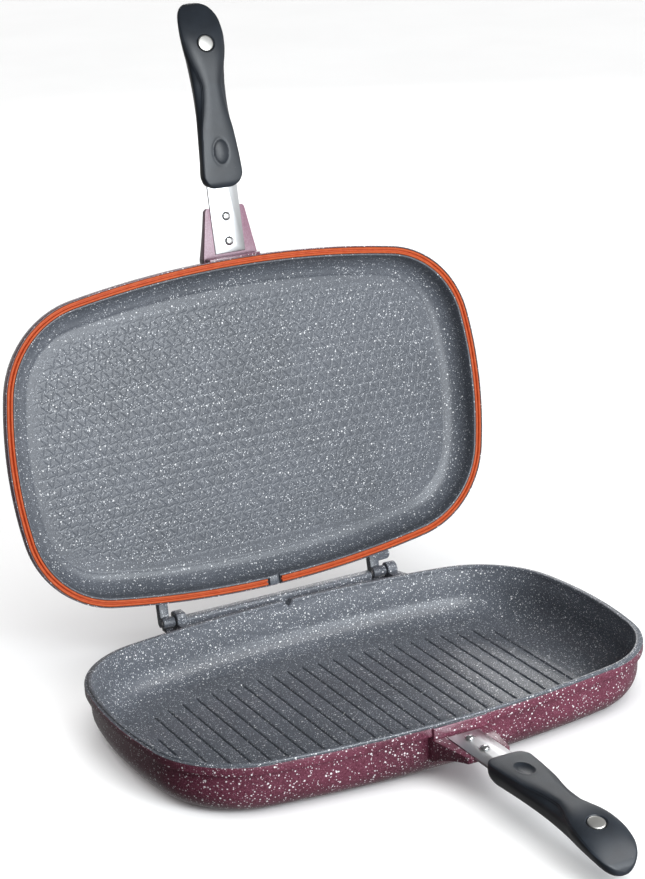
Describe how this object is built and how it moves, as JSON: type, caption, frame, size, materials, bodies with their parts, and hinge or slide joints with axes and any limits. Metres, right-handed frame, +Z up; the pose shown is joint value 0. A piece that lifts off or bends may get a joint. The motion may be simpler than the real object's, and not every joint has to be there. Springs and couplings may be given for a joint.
{
  "type": "double sided flip pan",
  "caption": "Double sided flip pan standing open: deep grill pan and shallow patterned pan hinged along one long side, with an orange seal and a riveted front grip on each half.",
  "frame": {"origin": "centre of the lower pan's flat underside", "axes": "+X along the hinge, +Y towards the hinge, +Z up; the lower grip points to -Y"},
  "size_m": [0.4, 0.5594, 0.4834],
  "materials": {
    "coated_casting": "speckled non-stick coating, dark wine red outside and dark grey inside",
    "silicone": "matt orange silicone",
    "grip_moulding": "satin charcoal moulding",
    "magnet_button": "plated disc",
    "polished_steel": "polished",
    "fastener_steel": "polished"
  },
  "bodies": {
    "lower_body": {"lower_pan": "coated_casting", "hinge_pin_left": "fastener_steel", "hinge_pin_right": "fastener_steel", "lower_shank": "polished_steel", "lower_rivet_inner": "fastener_steel", "lower_rivet_outer": "fastener_steel", "lower_grip": "grip_moulding", "lower_magnet": "magnet_button", "lower_grip_screw": "fastener_steel"},
    "upper_body": {"upper_pan": "coated_casting", "seal": "silicone", "upper_shank": "polished_steel", "upper_rivet_inner": "fastener_steel", "upper_rivet_outer": "fastener_steel", "upper_grip": "grip_moulding", "upper_magnet": "magnet_button", "upper_grip_screw": "fastener_steel"}
  },
  "joints": [
    {"name": "lid_hinge", "type": "hinge", "parent": "lower_body", "child": "upper_body", "pos_m": [0, 0.1354, 0.0414], "axis": [1, 0, 0], "range_deg": [0, 99.9]}
  ]
}
